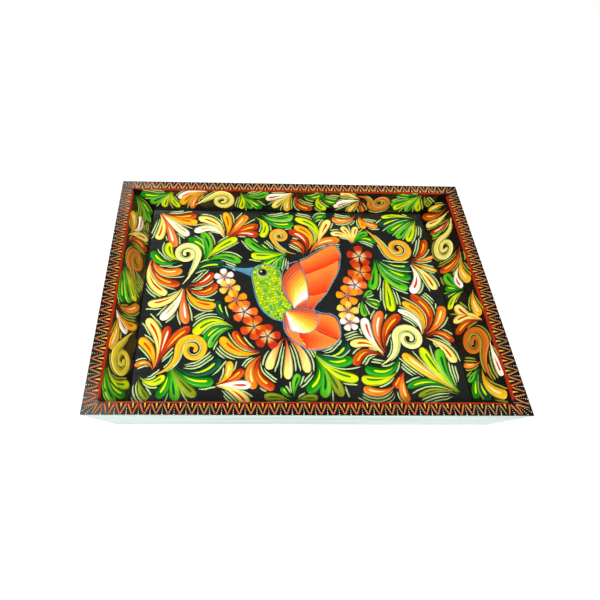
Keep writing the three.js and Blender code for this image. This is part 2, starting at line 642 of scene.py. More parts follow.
class Leaf:
    """A curved stroke from a root to a tip. A positive bend bulges to the left of the way it goes."""

    def __init__(self, root, tip, bend, wide, style=None):
        self.root = root
        self.tip = tip
        self.wide = wide
        self.style = style
        self.side = 1 if bend >= 0 else -1
        dx, dy = tip[0] - root[0], tip[1] - root[1]
        self.knee = ((root[0] + tip[0]) / 2 - dy * bend * 2, (root[1] + tip[1]) / 2 + dx * bend * 2)

    def place(self, t, aside=0.0):
        """The point at t, moved aside to the left by that many millimetres. t may run past 1."""
        inside = min(t, 1.0)
        rest = 1 - inside
        x, y = (rest ** 2 * a + 2 * inside * rest * b + inside ** 2 * c
                for a, b, c in zip(self.root, self.knee, self.tip))
        dx, dy = (2 * rest * (b - a) + 2 * inside * (c - b)
                  for a, b, c in zip(self.root, self.knee, self.tip))
        size = max(math.hypot(dx, dy), 1e-9)
        beyond = t - inside
        return (x + dx * beyond - dy / size * aside, y + dy * beyond + dx / size * aside)

    def line(self, steps=LEAF_STEPS):
        return [self.place(t) for t in steps]

    def fits(self, canvas):
        return all(canvas.holds(*self.place(t, hand * comma_width(t, self.wide)), 0.5)
                   for t in LEAF_STEPS for hand in (-1, 1))


def pick(values, i, count):
    """The i-th of count values: the one there is, as listed, or evenly from the first to the last."""
    if count == 1:
        return values
    return values[i] if len(values) == count else lerp(values[0], values[-1], i / (count - 1))


def plan_fan(canvas, at, angles, reaches, bends, styles):
    """Leaves that spread from one root, each with its angle, reach and bend."""
    names = styles.split()
    count = len(names)
    gap = math.radians(abs(angles[-1] - angles[0])) / (count - 1) if count > 1 else 1.0
    leaves = []
    for i, style in enumerate(names):
        angle = math.radians(pick(angles, i, count) + luck.uniform(-1, 1))
        reach = pick(reaches, i, count) * luck.uniform(1.0, 1.04)
        bend = pick(bends, i, count)
        slim = 1.0
        for _ in range(16):
            room = 0.5 * (0.8 * reach * gap * 1.2 - 1.6)
            wide = slim * max(2.5, min(5.9, 1.35 + 0.11 * reach, room))
            tip = polar(at, angle, reach)
            root = between(at, tip, 0.05)
            leaf = Leaf(root, tip, bend, wide, style)
            if leaf.fits(canvas):
                break
            reach *= 0.98
            bend *= 0.95
            slim *= 0.96
        for _ in range(3):
            if all(canvas.is_clear(*place, wide * 0.4) for place in leaf.line((0.8, 0.95))):
                break
            leaf = Leaf(root, between(root, leaf.tip, 0.94), bend, wide, style)
        leaves.append(leaf)
    for leaf in leaves:
        for t in LEAF_STEPS[2:-2]:
            canvas.claim(*leaf.place(t), comma_width(t, leaf.wide), leaf)
    return leaves


def paint_leaf(art, canvas, leaf, lift):
    base, body, edge, inner = LEAVES[leaf.style]
    is_petal = leaf.style == "petal"
    blunt = luck.choice((2.0, 2.6, 3.6))

    def body_colour(t, s):
        tone = mix(base, body, t * 1.5 - 0.2 if is_petal else t * 2.2)
        tone = mix(tone, edge, 0.9 * max(0.0, s * leaf.side) * min(1.0, t * 1.6))
        return mix(tone, base, 0.35 * max(0.0, -s * leaf.side) * (1.1 - t))

    slim = 0.85 if is_petal else 1.0
    art.ribbon(canvas, leaf.line(), lambda t: comma_width(t, slim * leaf.wide, blunt), body_colour, lift)
    if is_petal:
        return
    start, stop = luck.uniform(0.26, 0.36), luck.uniform(0.84, 0.9)
    aside = -leaf.side * leaf.wide * 0.12
    vein = [leaf.place(lerp(start, stop, t), aside) for t in LEAF_STEPS]
    art.ribbon(canvas, vein, lambda t: comma_width(t, leaf.wide * 0.29, blunt),
               lambda t, s: mix(body, inner, 0.3 + t * 2.4), lift + 0.12, 0.2, 3)


def clear_run(canvas, line, margin, owners):
    """The longest stretch of the line that stays on the canvas and clear of all paint but the owners'."""
    best, run = [], []
    for x, y in line:
        if canvas.holds(x, y, 0.9) and canvas.is_clear(x, y, margin, owners):
            run.append((x, y))
        else:
            run = []
        if len(run) > len(best):
            best = list(run)
    return best


def paint_pale_line(art, canvas, line, wide, least=7):
    """A pale line, round at its end and thin at its start, if it is at least that long."""
    if len(line) < 6 or run_length(line) < least:
        return
    line = spaced(line, max(12, len(line) // 2))
    art.ribbon(canvas, line, lambda t: wide * min(1.0, 0.25 + t * 2.2) * min(1.0, (1 - t) * 9) ** 0.5,
               lambda t, s: canvas.line_colour, 0.14, foot=-SINK)
    for x, y in line:
        canvas.claim(x, y, wide, "pale line")


def paint_echo(art, canvas, leaf, side, gap):
    """The pale line that follows a leaf's side at that gap, as far as there is room."""
    start, stop = luck.uniform(0.12, 0.22), luck.uniform(0.97, 1.06)
    line = []
    for i in range(30):
        t = lerp(start, stop, i / 29)
        off = comma_width(min(t, 0.9), leaf.wide) + gap * min(1.0, t / 0.3)
        line.append(leaf.place(t, side * off))
    least = 7 if gap == LINE_GAP else 12
    paint_pale_line(art, canvas, clear_run(canvas, line, 0.6, (leaf,)), 0.97, least)


def paint_parting(art, canvas, leaf, following, towards):
    """The pale line between two neighbours of a fan, or one beside each where they stand wide apart."""
    def gap_at(t):
        return (leaf.place(t, towards * comma_width(min(t, SHOULDER), leaf.wide)),
                following.place(t, -towards * comma_width(min(t, SHOULDER), following.wide)))

    if math.dist(*gap_at(0.8)) > 7:
        paint_echo(art, canvas, leaf, towards, LINE_GAP)
        paint_echo(art, canvas, following, -towards, LINE_GAP)
        return
    stop = luck.uniform(1.0, 1.1)
    line = []
    for i in range(36):
        t = lerp(0.12, stop, i / 35)
        a, b = gap_at(t)
        middle, far = leaf.place(t), following.place(t)
        opens = (b[0] - a[0]) * (far[0] - middle[0]) + (b[1] - a[1]) * (far[1] - middle[1])
        if opens > 0.3 * math.dist(middle, far):
            line.append(((a[0] + b[0]) / 2, (a[1] + b[1]) / 2))
    paint_pale_line(art, canvas, clear_run(canvas, line, 0.2, (leaf, following)), 0.85)


def paint_leaf_lines(arts, canvas, planned, fans):
    """First the lines between the leaves of every fan, then those round the outside of each fan."""
    outsides = []
    for i, (leaves, fan) in enumerate(zip(planned, fans)):
        art = arts[i % len(arts)]
        angles = fan[1]
        towards = 1 if len(leaves) > 1 and angles[-1] > angles[0] else -1
        for leaf, following in zip(leaves, leaves[1:]):
            paint_parting(art, canvas, leaf, following, towards)
        outsides += [(art, leaves[0], -towards), (art, leaves[-1], towards)]
    for rank in (1, 3, 5):
        for art, leaf, side in outsides:
            paint_echo(art, canvas, leaf, side, rank * LINE_GAP)


SCROLL_TURNS = 1.75


def scroll_spiral(centre, radius, leave, hand, squash):
    """From the eye outwards: tight at first, then nearly a circle."""
    line = []
    for i in range(49):
        f = i / 48
        angle = leave - hand * (1 - f) * SCROLL_TURNS * 2 * math.pi
        r = radius * (0.13 + 0.66 * lerp(f, f * f * (3 - 2 * f), 0.7))
        line.append((centre[0] + r * math.cos(angle), centre[1] + squash * r * math.sin(angle)))
    return line


def scroll_tail(start, leave, hand, tail):
    """It leaves the spiral along its tangent and ends in a point: a Bezier curve."""
    push = 0.5 * math.dist(start, tail)
    on = (start[0] - hand * math.sin(leave) * push, start[1] + hand * math.cos(leave) * push)
    near = between(tail, on, 0.45)
    line = []
    for i in range(1, 17):
        t = i / 16
        a, b, c, d = (1 - t) ** 3, 3 * t * (1 - t) ** 2, 3 * t * t * (1 - t), t ** 3
        line.append(tuple(a * start[k] + b * on[k] + c * near[k] + d * tail[k] for k in (0, 1)))
    return line


def paint_scroll(art, canvas, centre, radius, leaves_at, hand, tail, body, edge):
    """The scroll with its inner pale line. Returns where a line along its outside would run."""
    leave = math.radians(leaves_at)
    spiral = scroll_spiral(centre, radius, leave, hand, canvas.squash)
    end = scroll_tail(spiral[-1], leave, hand, tail)
    share = run_length(spiral) / (run_length(spiral) + run_length([spiral[-1]] + end))
    line = spaced(spiral + end, 90)
    body, edge = rgb(body), rgb(edge)

    def width(t):
        if t < share:
            return radius * lerp(0.12, 0.215, t / share) * min(1.0, t / 0.03 + 0.2) ** 0.5
        return max(0.25, radius * 0.215 * ((1 - t) / (1 - share)) ** 0.85)

    for i, (x, y) in enumerate(line):
        canvas.claim(x, y, width(i / 90), centre)
    art.ribbon(canvas, line, width, lambda t, s: mix(body, edge, 0.7 * max(0.0, -s * hand)), 0.08, 0.25, 5)

    def follow(side, gap, first):
        steps = range(int(90 * share * first), int(lerp(90 * share, 90, 0.75)))
        return smooth_line([beside(line, i, side * (width(i / 90) + gap)) for i in steps], 2)

    paint_pale_line(art, canvas, follow(hand, 0.75, 0.16), 1.0)
    return follow(-hand, 1.5, 0.6)


# Each fan: its root, the angles, reaches and bends of its leaves (one for each leaf, or only the first
# and the last), and their colours.
FLOOR_FANS = [
    ((-159, 122), (-3, -18, -43, -68, -89), (45, 48, 52, 56, 42),
     (-0.14, 0.12), "rust gold white peach cream"),
    ((-77, 82), (165, 137, 94, 57, 28, 7), (39, 46, 41, 43, 43, 38), (-0.3, 0.18),
     "white cream gold orange rust ember"),
    ((-103, 46), (119, 95, 43, 2), (44, 47, 53, 42), (-0.3, -0.2, 0.08, 0.22), "green leaf lime leaf"),
    ((-127, 47), (120, 156), (38, 37), (0.22, 0.24), "lime green"),
    ((-163, 53), (-24, -66), (40, 49, 56), (-0.28, -0.22), "orange rust cream"),
    ((-122, 14), (31, 7, -33, -83, -119, -150), (36, 35, 42, 46, 47, 44),
     (-0.16, -0.3, -0.22, -0.05, 0.08, 0.16), "ember rust gold peach white cream"),
    ((-121, 22), 27, 46, 0.2, "teal"),
    ((-146, -86), (117, 102, 78, 57), (39, 58, 50, 58), (-0.14, -0.16, 0.0, 0.1), "gold cream ember rust"),
    ((-146, -86), 166, 21, -0.42, "orange"),
    ((-131, -78), (6, -105), (50, 36), (-0.28, 0.12), "teal green olive leaf green"),
    ((-161, -92), (4, -62), (27, 25), (-0.3, -0.1), "lime olive"),
    ((-86, -101), (62, -30), (29, 38), (-0.22, 0.15), "amber rust snow cream"),
    ((-65, -36), (193, 223), (51, 36), (-0.28, -0.18), "lime green leaf"),
    ((-69, -30), 120, 35, 0.15, "teal"),
    ((-37, -66), (157, 140), (49, 38), (0.2, 0.16), "gold rust"),
    ((-38, -66), (-101, -74), (45, 38), (-0.24, -0.3), "orange rust"),
    ((-4, 62), (157, 240), (52, 27), (0.18, -0.15), "leaf lime green leaf"),
    ((-16, 64), 150, 27, 0.15, "teal"),
    ((-43, 118), -76, 33, 0.3, "lime"),
    ((-37, 121), (-1, -18), (42, 44), (-0.18, -0.2), "leaf green"),
    ((13, 55), 119, 28, -0.26, "rust"),
    ((17, 58), 118, 41, -0.27, "ember"),
    ((21, 65), 114, 42, -0.3, "gold"),
    ((29, 73), 119, 45, -0.32, "lime"),
    ((31, 72), 66, 45, 0.04, "cream"),
    ((19, 58), 31, 46, 0.2, "orange"),
    ((31, 104), 45, 21, 0.34, "green"),
    ((74, 76), (148, 4), (28, 28), (-0.25, 0.3), "cream cream cream leaf green"),
    ((85, 122), 192, 31, 0.22, "orange"),
    ((87, 121), (285, 323), (25, 27), (-0.1, -0.2), "gold orange"),
    ((158, 117), (178, 245), (50, 38), (-0.16, 0.02), "lime teal green leaf lime"),
    ((137, 50), (55, -98), (46, 41), (-0.18, 0.2), "rust orange amber cream snow"),
    ((97, 57), (-17, -53), (41, 52), (-0.14, -0.16), "teal green leaf"),
    ((104, 36), -90, 51, 0.02, "lime"),
    ((97, 57), -104, 44, 0.05, "leaf"),
    ((75, 0), (38, -88), (17, 22), (0.1, -0.1), "leaf green leaf"),
    ((133, -46), (124, 94), (37, 50), (-0.24, -0.3), "white gold rust"),
    ((134, -45), 54, 45, -0.12, "orange"),
    ((134, -46), (-12, -50), (31, 38), (0.3, 0.16), "rust cream"),
    ((89, -69), (198, 160), (33, 36), (-0.34, -0.24), "rust cream"),
    ((89, -68), (108, 63), (49, 53), (0.12, 0.16), "snow peach rust"),
    ((106, -66), 202, 43, 0.28, "green"),
    ((100, -85), 190, 39, 0.15, "lime"),
    ((96, -98), 188, 34, 0.2, "orange"),
    ((158, -110), (138, 103), (66, 51), (0.02, 0.12), "amber lime leaf"),
    ((158, -110), (171, 182), (52, 42), (-0.2, -0.15), "green olive"),
    ((105, -84), (-93, -125), (32, 26), (-0.12, 0.0), "orange rust"),
    ((-13, -46), (-116, -90, -64), (42, 47, 45), (-0.06, 0.14), "petal petal petal"),
    ((13, -63), (14, -34), (40, 52), (-0.3, -0.15), "teal green lime"),
    ((15, -66), (-62, -104), (50, 42), (0.05, 0.25), "olive leaf green"),
    ((-8, -114), (76, 135), (26, 16), (0.08, 0.1), "leaf green"),
    ((-9, -117), (172, 8), (28, 24), (-0.1, 0.1), "olive olive"),
]
WALL_FANS = {
    "back": [
        ((-140, 31), (187, 214, 242, 283), (38, 34, 29, 26), (0.16, -0.2), "green leaf lime lime"),
        ((-97, 31), (197, 212, 232), (43, 39, 34), (-0.18, -0.2), "snow gold orange"),
        ((-61, 31), (274, 299, 318), (27, 30, 36), (0.12, -0.05), "lime leaf green"),
        ((-60, 28), 4, 33, -0.16, "leaf"),
        ((3, 31), (198, 229, 262), (40, 33, 29), (0.02, -0.14), "snow cream amber"),
        ((6, 31), 313, 34, -0.3, "rust"),
        ((12, 29), 2, 26, -0.26, "green"),
        ((35, 31), (292, 326), (28, 27), (-0.26, -0.2), "lime green"),
        ((86, 21), (162, 202, 244, 292), (33, 35, 22, 20), (-0.1, -0.08), "cream snow amber rust"),
        ((157, 31), (180, 205, 222, 250, 282), (37, 36, 36, 29, 26), (0.12, -0.12),
         "green leaf lime leaf lime"),
        ((160, 31), 306, 24, -0.1, "olive"),
    ],
    "left": [
        ((-92, 36), (190, 212, 236, 256), (31, 36, 35, 33), (-0.16, -0.3), "green leaf green lime"),
        ((-34, 32), 177, 46, 0.1, "amber"),
        ((-32, 36), (229, 260), (32, 33), (-0.1, -0.22), "snow gold"),
        ((-26, 37), 292, 34, -0.2, "orange"),
        ((22, 34), (188, 202, 217, 236), (43, 44, 40, 34), (-0.08, 0.05), "green leaf lime olive"),
        ((50, 36), 285, 33, 0.28, "rust"),
        ((60, 37), 294, 36, 0.1, "cream"),
        ((63, 33), 1, 34, -0.16, "amber"),
        ((70, 31), -19, 30, -0.24, "snow"),
        ((121, 36), (212, 236, 258), (38, 36, 33), (0.25, 0.1), "olive leaf green"),
    ],
    "right": [
        ((-114, 35), 250, 27, -0.1, "amber"),
        ((-110, 37), 252, 36, 0.2, "rust"),
        ((-104, 37), 268, 33, 0.12, "cream"),
        ((-96, 37), 280, 32, 0.16, "ember"),
        ((-85, 24), 266, 20, 0.1, "leaf"),
        ((-54, 36), 299, 36, 0.25, "rust"),
        ((-40, 34), -1, 34, -0.2, "amber"),
        ((-31, 27), -6, 27, -0.22, "snow"),
        ((1, 25), (208, 236, 266, 300), (40, 24, 22, 25), (0.1, -0.2), "leaf green teal lime"),
        ((3, 34), -2, 32, -0.12, "amber"),
        ((42, 35), (221, 250), (37, 33), (0.1, -0.2), "cream cream"),
        ((42, 36), 275, 33, -0.22, "rust"),
        ((62, 34), 3, 48, -0.06, "snow"),
        ((86, 18), 26, 36, -0.22, "amber"),
        ((81, 21), 262, 20, 0.12, "orange"),
        ((87, 17), (2, -22, -55), (32, 30, 19), (-0.16, -0.1), "teal green leaf"),
    ],
}
# Each scroll: centre, radius, angle it leaves at, hand, tail, and its two colours.
FLOOR_SCROLLS = [
    ((-122, 59), 17.5, -8, -1, (-125, 16), "fff08c", "fffcd0"),
    ((-109, -62), 18.5, 180, 1, (-146, -91), "fcb414", "ffd850"),
    ((-13, 87), 12.5, 195, 1, (5, 60), "f8a818", "ffc848"),
    ((127, 70), 19, 200, -1, (92, 99), "f6a41c", "ffc84c"),
    ((117, -48), 18, 180, 1, (82, -79), "fff08c", "fffcd0"),
]
WALL_SCROLLS = {
    "back": [((-82, 16.5), 16.5, 120, 1, (-116, 8), "fbe868", "fff6a4"),
             ((110, 16.5), 15.5, 190, -1, (80, 27), "d4741a", "ee9838")],
    "left": [((-81, 17), 18, 60, -1, (-46, 7), "f0d430", "fbe870"),
             ((36, 17.5), 17.5, 120, 1, (6, 11), "cc6a14", "e4882c")],
    "right": [((-61, 17), 18.5, 180, -1, (-94, 35), "f2e470", "fbf4b0"),
              ((60, 18.5), 18.5, 60, -1, (104, 26), "c86614", "e4862c")],
}


def paint_foliage(canvas, arts, fans, scrolls, scroll_art):
    """Scrolls first, then every fan, then the pale lines in the room that is left."""
    outsides = [paint_scroll(scroll_art, canvas, *scroll) for scroll in scrolls]
    planned = [plan_fan(canvas, *fan) for fan in fans]
    for i, leaves in enumerate(planned):
        for j, leaf in enumerate(leaves):
            paint_leaf(arts[i % len(arts)], canvas, leaf, 0.02 + 0.03 * (j % 3))
    paint_leaf_lines(arts, canvas, planned, fans)
    for (centre, *_), line in zip(scrolls, outsides):
        paint_pale_line(scroll_art, canvas, clear_run(canvas, line, 0.6, (centre,)), 0.8)


def build_foliage():
    arts = [Brushwork(f"floor_leaves_{i + 1}") for i in range(5)]
    scrolls = Brushwork("floor_scrolls")
    paint_foliage(floor, arts, FLOOR_FANS, FLOOR_SCROLLS, scrolls)
    for art in (*arts, scrolls):
        art.finish("lacquered_floor")
    for name, canvas in WALLS.items():
        plan = "back" if name == "front" else name
        art = Brushwork(f"{name}_wall_painting")
        paint_foliage(canvas, [art], WALL_FANS[plan], WALL_SCROLLS[plan], art)
        half = canvas.half_width + canvas.flare * canvas.high - 0.6
        top = canvas.high - 1.25
        line = [(lerp(-half, half, k / 60), top + luck.uniform(-0.12, 0.12)) for k in range(61)]
        art.ribbon(canvas, line, lambda t: 0.95, lambda t, s: RED_LINE, 0.0, 0.15, 3)
        art.finish("painted_sides")


# ---------------------------------------------------------------- flowers

FLOWERS = [
    # centre, radius, first petal's angle, petal colour, colour at its heart
    ((-78, 27), 11.5, 95, "fffdf2", "ee8628"),
    ((-72, 13), 12.5, 70, "fccf58", "e86c14"),
    ((-65, -3), 13, 100, "f8a012", "e25a04"),
    ((-56, -18), 14.5, 80, "ee6c24", "fff0c8"),
    ((-46, -36), 15, 60, "d84a12", "ffb81e"),
    ((-32, -47), 15, 85, "c22e0c", "ffdc78"),
    ((79, 58), 15.5, 90, "c23010", "ffe08a"),
    ((77, 35.5), 15, 110, "d84a10", "ffb428"),
    ((68.5, 18), 14.5, 75, "ec7426", "fff4d8"),
    ((58.5, 4), 13.5, 100, "f8a012", "e25a04"),
    ((56, -15.5), 12.5, 80, "fcd65c", "e87818"),
    ((57, -29.5), 11, 95, "fffdf2", "ee8628"),
]
PETALS = 5


def petal_width(t, wide):
    """Narrow at the heart, broad and almost square at the outside."""
    if t < 0.7:
        return wide * (0.1 + 0.9 * math.sin(t / 0.7 * math.pi / 2))
    return wide * max(0.0, 1 - ((t - 0.7) / 0.3) ** 3.4) ** 0.7


def paint_petal(art, centre, angle, radius, petal, heart, lift):
    tip = polar(centre, angle, radius * luck.uniform(0.94, 1.03))
    leaf = Leaf(polar(centre, angle, radius * 0.12), tip, luck.uniform(-0.03, 0.03), radius * 0.37)
    deep = mix(petal, rgb("5a0c00"), 0.4)

    def colour(t, s):
        body = mix(heart, petal, t * 1.9)
        return mix(body, deep, 0.85 * abs(s) ** 2.4 * min(1.0, t * 3))

    art.ribbon(floor, leaf.line(), lambda t: petal_width(t, leaf.wide), colour, lift, 0.25, 6)
    for k in (-2, -1, 0, 1, 2):
        stop = 0.66 - 0.1 * abs(k) + luck.uniform(-0.06, 0.06)
        steps = [lerp(0.08, stop, t) for t in (0, 0.25, 0.5, 0.75, 1)]
        line = [leaf.place(t, k * leaf.wide * 0.3 * math.sin(t * 2)) for t in steps]
        tone = mix(heart, rgb("fff6c8"), 0.25) if k % 2 == 0 else deep
        art.ribbon(floor, line, lambda t: 0.42 * (1 - t) + 0.1, lambda t, s: tone, lift + 0.2, 0.1, 2)


def paint_flower(art, centre, radius, first, petal, heart, lift):
    for i in range(PETALS):
        angle = math.radians(first + 360 / PETALS * i + luck.uniform(-4, 4))
        paint_petal(art, centre, angle, radius, rgb(petal), rgb(heart), lift)
    for i in range(9):
        spot = polar(centre, 2 * math.pi * i / 8, radius * 0.12 if i < 8 else 0)
        art.dot(floor, *spot, radius * 0.055, rgb("c4c8e4" if i % 2 else "7c82b0"), lift + 0.22, 0.25, 8)


def claim_flowers():
    for (x, y), radius, *_ in FLOWERS:
        floor.claim(x, y, radius * 0.98, "flowers")


def build_flowers():
    garlands = {"left": Brushwork("left_garland"), "right": Brushwork("right_garland")}
    for i, flower in enumerate(FLOWERS):
        art = garlands["left" if flower[0][0] < 0 else "right"]
        paint_flower(art, *flower, 0.1 + 0.05 * (i % 6))
    for art in garlands.values():
        art.finish("lacquered_floor")


# ---------------------------------------------------------------- bird

BIRD_LIFT = 0.12
LINE_LIFT = 0.5
BIRD_LINE, FEATHER_LIGHT, FEATHER_DEEP = tones("6a94b8 fc8838 ee2400")
COVERT_TONES = tones("b8380c cc4a14 d8561c f0781c f8901e fcb012 ffc61e ffe458 fff08c fff8c0"
                     " fffdf0 fffaf0 e06a2a cc4814 b83c10")


def curve(points, count):
    return spaced(smooth_line(points), count)


def outline(art, line, wide=0.68):
    art.ribbon(floor, line, lambda t: wide * math.sqrt(min(1, t / 0.02 + 0.1, (1 - t) / 0.02 + 0.1)),
               lambda t, s: BIRD_LINE, LINE_LIFT, 0.25, 3)


def scalloped(line, pitch, depth):
    """The line with small bumps along it, each about that long, standing out to its left."""
    count = round(run_length(line) / pitch)
    last = len(line) - 1
    return [beside(line, i, depth * abs(math.sin(math.pi * count * i / last))) for i in range(last + 1)]


def feather(art, lower, upper, rank, deep_from=0.8):
    """A broad flight feather: light along its upper line, deepening to red at its lower line."""
    art.patch(floor, curve(lower, 40), curve(upper, 40),
              lambda t, q: mix(FEATHER_DEEP, FEATHER_LIGHT, (q / deep_from) ** 1.1),
              BIRD_LIFT + 0.08 * rank, 0.25, 10)


def coverts(art, root, hem, bends):
    """Small feathers that fan out from one root: overlapping strokes whose colours run across the fan."""
    hem = curve(hem, 30)
    for i, tip in enumerate(hem):
        f = i / 30
        place = f * (len(COVERT_TONES) - 1)
        k = min(int(place), len(COVERT_TONES) - 2)
        tone = mix(COVERT_TONES[k], COVERT_TONES[k + 1], place - k)
        tone = mix(tone, rgb("ffffff" if i % 2 else "a02c00"), 0.05)
        gap = math.dist(hem[max(i - 1, 0)], hem[min(i + 1, 30)]) / 2
        leaf = Leaf(root, tip, lerp(*bends, f ** 1.3), 0)
        art.ribbon(floor, leaf.line(), lambda t: (0.1 + (gap * 0.85 + 0.25) * t) * (1 if t < 0.97 else 0.75),
                   lambda t, s: tone, BIRD_LIFT + 0.26 + 0.02 * (i % 2), 0.16, 3)


def build_wing():
    wing = Brushwork("bird_upper_wing")
    edge = [(8, 50.5), (20, 57), (35, 68), (46, 74.5), (52, 74.5), (56, 66), (57, 60), (55, 50), (53, 40),
            (48, 29), (42, 19), (36, 8), (28, -2), (22, -8), (19, -14)]
    hem = curve([(7.5, 49.5), (9, 45), (11, 38), (12.5, 31), (13.5, 25), (14.5, 18), (14.5, 10), (14.5, 3),
                 (13.5, -4), (12, -11)], 60)
    front = [(-2, -13), (-9, 2), (-13.5, 18), (-13, 31), (-8, 42), (0, 48), (7.5, 49.8)]
    feather(wing, [(12, -13), (16, -14), (19, -14), (22, -8.5)],
            [(12.5, 5), (20, 5), (28, 8), (35, 11), (36.5, 8), (28, -2), (23, -7.5)], 0, 0.9)
    feather(wing, [(13.5, 1), (22, 0.5), (30, 3.5), (38, 10)],
            [(11, 36), (20, 38), (30, 42), (42, 49), (54, 56), *edge[7:11], (38.5, 11)], 1)
    feather(wing, [(10, 30.5), (20, 33), (29, 36), (38, 40), (47, 45.5), (55, 53), (57, 59)], edge[:7], 2)
    coverts(wing, front[0], hem, (0.265, 0.0))
    outline(wing, scalloped(curve(edge, 110), 3.6, 0.8))
    outline(wing, curve(front, 60))
    outline(wing, scalloped(hem, 5.5, 0.7), 0.5)
    outline(wing, [(-2, -13.4), (5, -12.6), (12, -12.8), (19, -14)], 0.5)
    wing.finish("lacquered_floor")


def build_tail():
    tail = Brushwork("bird_tail")
    edge = [(17, -14), (27, -19), (37, -20), (44, -26), (45.5, -36), (44, -48), (38, -56), (30, -60),
            (20, -62), (11, -62.5), (4, -58), (-3, -53), (-10, -46), (-13.5, -38), (-14, -26)]
    hem = curve([(17, -13.5), (22, -20), (24, -27), (21, -35), (15, -41), (7, -43), (-2, -41.5), (-9, -38),
                 (-13.5, -31)], 60)
    feather(tail, [(-13, -30), (-13.5, -38), (-10, -46.5), (-3, -53), (4, -58), (8, -61.5)],
            [(1, -38), (3, -47), (6, -55), (10, -62)], 0, 0.2)
    feather(tail, [(-1, -36), (0, -43), (3, -51), (8, -61.5)],
            [(17, -36), (25, -42), (35, -47), (43.5, -51), (40, -55), (35, -58.5), (28, -60.5), (20, -62),
             (11, -62.3)], 1)
    feather(tail, [(14, -36), (22, -40.5), (32, -46), (44, -50.5)],
            [(16, -15), (27, -19), (37, -20), (43.5, -26), (45.5, -36), (44.5, -48)], 2)
    coverts(tail, (-11.5, -17), hem, (0.04, -0.02))
    outline(tail, scalloped(curve(edge, 110), 3.6, 0.7))
    outline(tail, [(-11.5, -16.6), (-4, -13.8), (6, -12.6), (17, -13.5)], 0.5)
    outline(tail, scalloped(hem, 5.5, 0.6), 0.5)
    outline(tail, [(-11.8, -17), (-13.8, -23), (-14.2, -31)], 0.5)
    tail.finish("lacquered_floor")


def build_body():
    body = Brushwork("bird_body")
    breast = curve([(-31, 45), (-38, 43.8), (-44, 40), (-47.5, 34), (-47.3, 27), (-45.5, 15), (-43.5, 3),
                    (-40, -9), (-34.5, -18), (-27, -25), (-20, -28), (-14, -29)], 54)
    nape = curve([(-31, 45), (-24, 44), (-17.5, 40.5), (-12.8, 34), (-11.6, 26), (-11.6, 16), (-8.3, 4),
                  (-5, -6), (-3.5, -12), (-8, -17), (-12.5, -21), (-13.5, -28)], 54)
    green, grass, shade, blue = tones("b4d818 8cc414 2c6488 5c9cc0")
    body.patch(floor, breast, nape, lambda t, q: mix(green, grass, t), BIRD_LIFT, 0.3, 12)
    beak = [curve([(-84, 43.5), *points], 20) for points in (
        ((-72, 38.3), (-60, 33.8), (-52, 29.5), (-46, 27)), ((-72, 41.4), (-60, 40), (-50, 40.6), (-41, 43)))]
    body.patch(floor, *beak, lambda t, q: mix(shade, blue, 0.2 + 1.2 * q), BIRD_LIFT, 0.3, 5)
    paint_plumage(body, breast, nape)
    outline(body, breast, 0.75)
    outline(body, nape[:12], 0.75)
    paint_eye(body)
    body.finish("lacquered_floor")


SCALE_PITCH = 3.3
SCALE_WIDE = 3.9
EYE = (-35, 33)


def paint_plumage(art, breast, nape):
    """Rows of small overlapping scales, yellow, leaf green and turquoise, each with a dark lower edge."""
    greens = tones("c8e014 b0d414 94c818 70b428 50a868 dcea18")
    rows = round(run_length(nape) / SCALE_PITCH)
    for row in range(1, rows):
        i = row / rows * (len(breast) - 1)
        k = min(int(i), len(breast) - 2)
        start, stop = (between(side[k], side[k + 1], i - k) for side in (breast, nape))
        wide = math.dist(start, stop)
        count = max(1, round(wide / SCALE_WIDE))
        for col in range(count):
            f = (col + (0.75 if row % 2 else 0.25)) / count
            x, y = between(start, stop, f)
            if 2.5 / wide < f < 1 - 2.5 / wide and math.dist((x, y), EYE) >= 7.2:
                paint_scale(art, x + luck.uniform(-0.8, 0.8), y + luck.uniform(-0.7, 0.7),
                            luck.choice(greens), row > 1)


def paint_scale(art, x, y, tone, may_glint):
    lean = luck.uniform(-0.5, 0.5) + 0.6
    art.ribbon(floor, spaced([(x, y + 2.2), (x + lean, y - 1.9)], 6),
               lambda t: 2.05 * min(1.0, 0.5 + t * 2) * min(1.0, (1 - t) * 4) ** 0.5,
               lambda t, s: tone, BIRD_LIFT + 0.26, 0.06)
    under = [(x + lean * 0.8 + 1.95 * math.cos(a), y + 2.0 * math.sin(a))
             for a in map(math.radians, range(196, 345, 29))]
    dark = rgb("2c6a18")
    art.ribbon(floor, under[luck.choice((0, 1, 2)):], lambda t: 0.26, lambda t, s: dark,
               BIRD_LIFT + 0.34, 0.06, 2)
    if may_glint and luck.random() < 0.6:
        art.dot(floor, x + luck.uniform(-1, 1), y + luck.uniform(-1, 0.6), luck.uniform(0.4, 0.75),
                rgb(luck.choice(("f8f428", "70d8c8", "50b8a0"))), BIRD_LIFT + 0.34, 0.08, 6)


def paint_eye(art):
    """White ring, black pupil and a glint, as flat round touches one over the other."""
    lift = BIRD_LIFT + 0.36
    for dx, dy, radius, code in ((0, 0, 5.8, "eef2ee"), (0, 0, 4.5, "161616"), (0.2, -0.4, 3.4, "505458"),
                                 (0.2, -0.2, 2.7, "0c0b0b"), (-1.6, 1.7, 1.4, "ffffff")):
        art.dot(floor, EYE[0] + dx, EYE[1] + dy, radius, rgb(code), lift, 0.12, 28)
        lift += 0.08


# ---------------------------------------------------------------- rim

